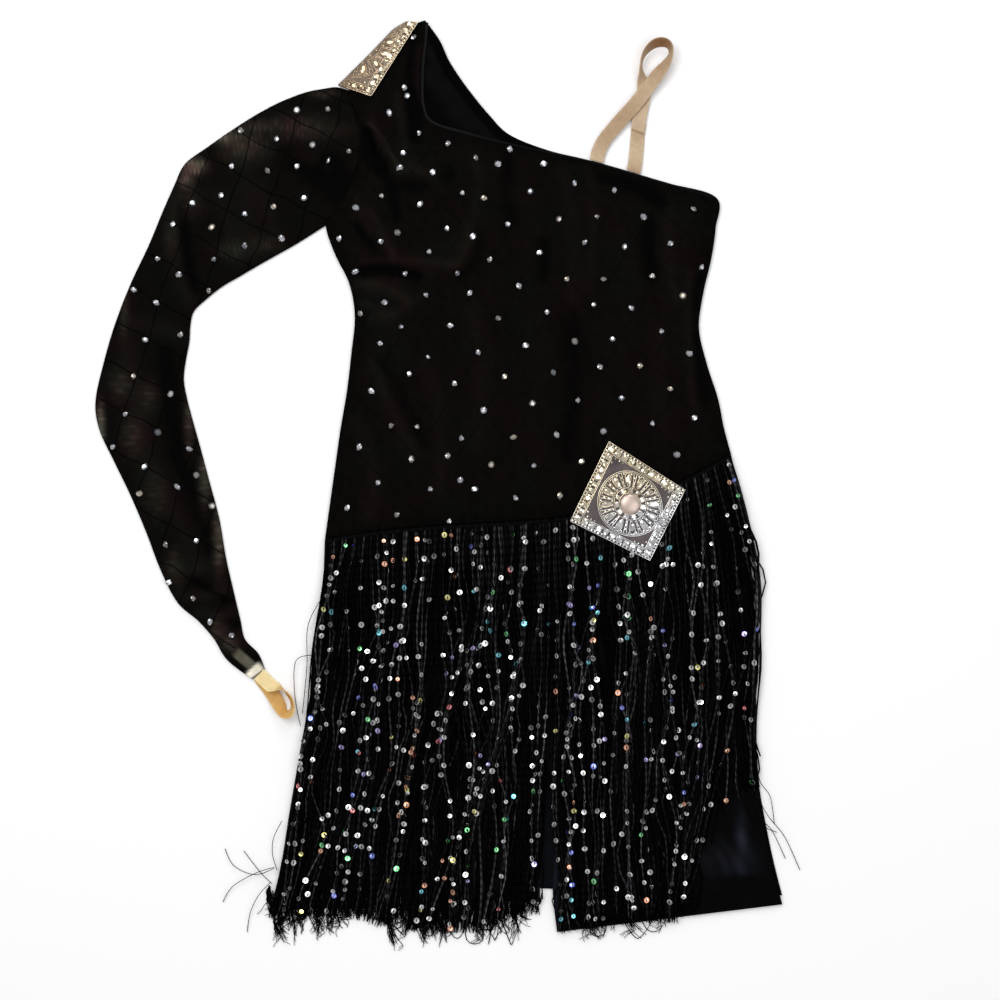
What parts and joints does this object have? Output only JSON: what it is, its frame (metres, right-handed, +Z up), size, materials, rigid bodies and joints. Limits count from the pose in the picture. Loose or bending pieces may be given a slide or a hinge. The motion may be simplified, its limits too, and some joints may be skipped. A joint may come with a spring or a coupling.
{
  "type": "one-shoulder fringed dance dress, laid flat",
  "caption": "One-shoulder, one-sleeved dance dress with a long sequinned fringe skirt, lying flat with its front up.",
  "frame": {"origin": "middle of the dress's outline as it lies, on the surface that it lies on", "axes": "+Z up from the surface, +Y from hem to shoulder, +X across the dress towards the side without a sleeve"},
  "size_m": [0.6354, 0.8424, 0.0139],
  "materials": {
    "lining": "matt black lining",
    "mesh": "black stretch mesh with small set stones",
    "stretch": "black stretch jersey with a navy sheen",
    "thread": "black rayon fringe with holographic sequins",
    "nude_elastic": "matt nude woven elastic",
    "cream_elastic": "cream woven elastic",
    "rhinestone": "silver set rhinestones"
  },
  "bodies": {
    "root": {"bodice_back": "lining", "bodice_front": "mesh", "sleeve": "mesh", "skirt_back": "stretch", "skirt_front_left": "stretch", "skirt_front_right": "stretch", "fringe_left": "thread", "fringe_right": "thread", "hip_applique": "rhinestone", "shoulder_applique": "rhinestone", "strap_long": "nude_elastic", "strap_short": "nude_elastic", "finger_loop": "cream_elastic"}
  },
  "joints": []
}
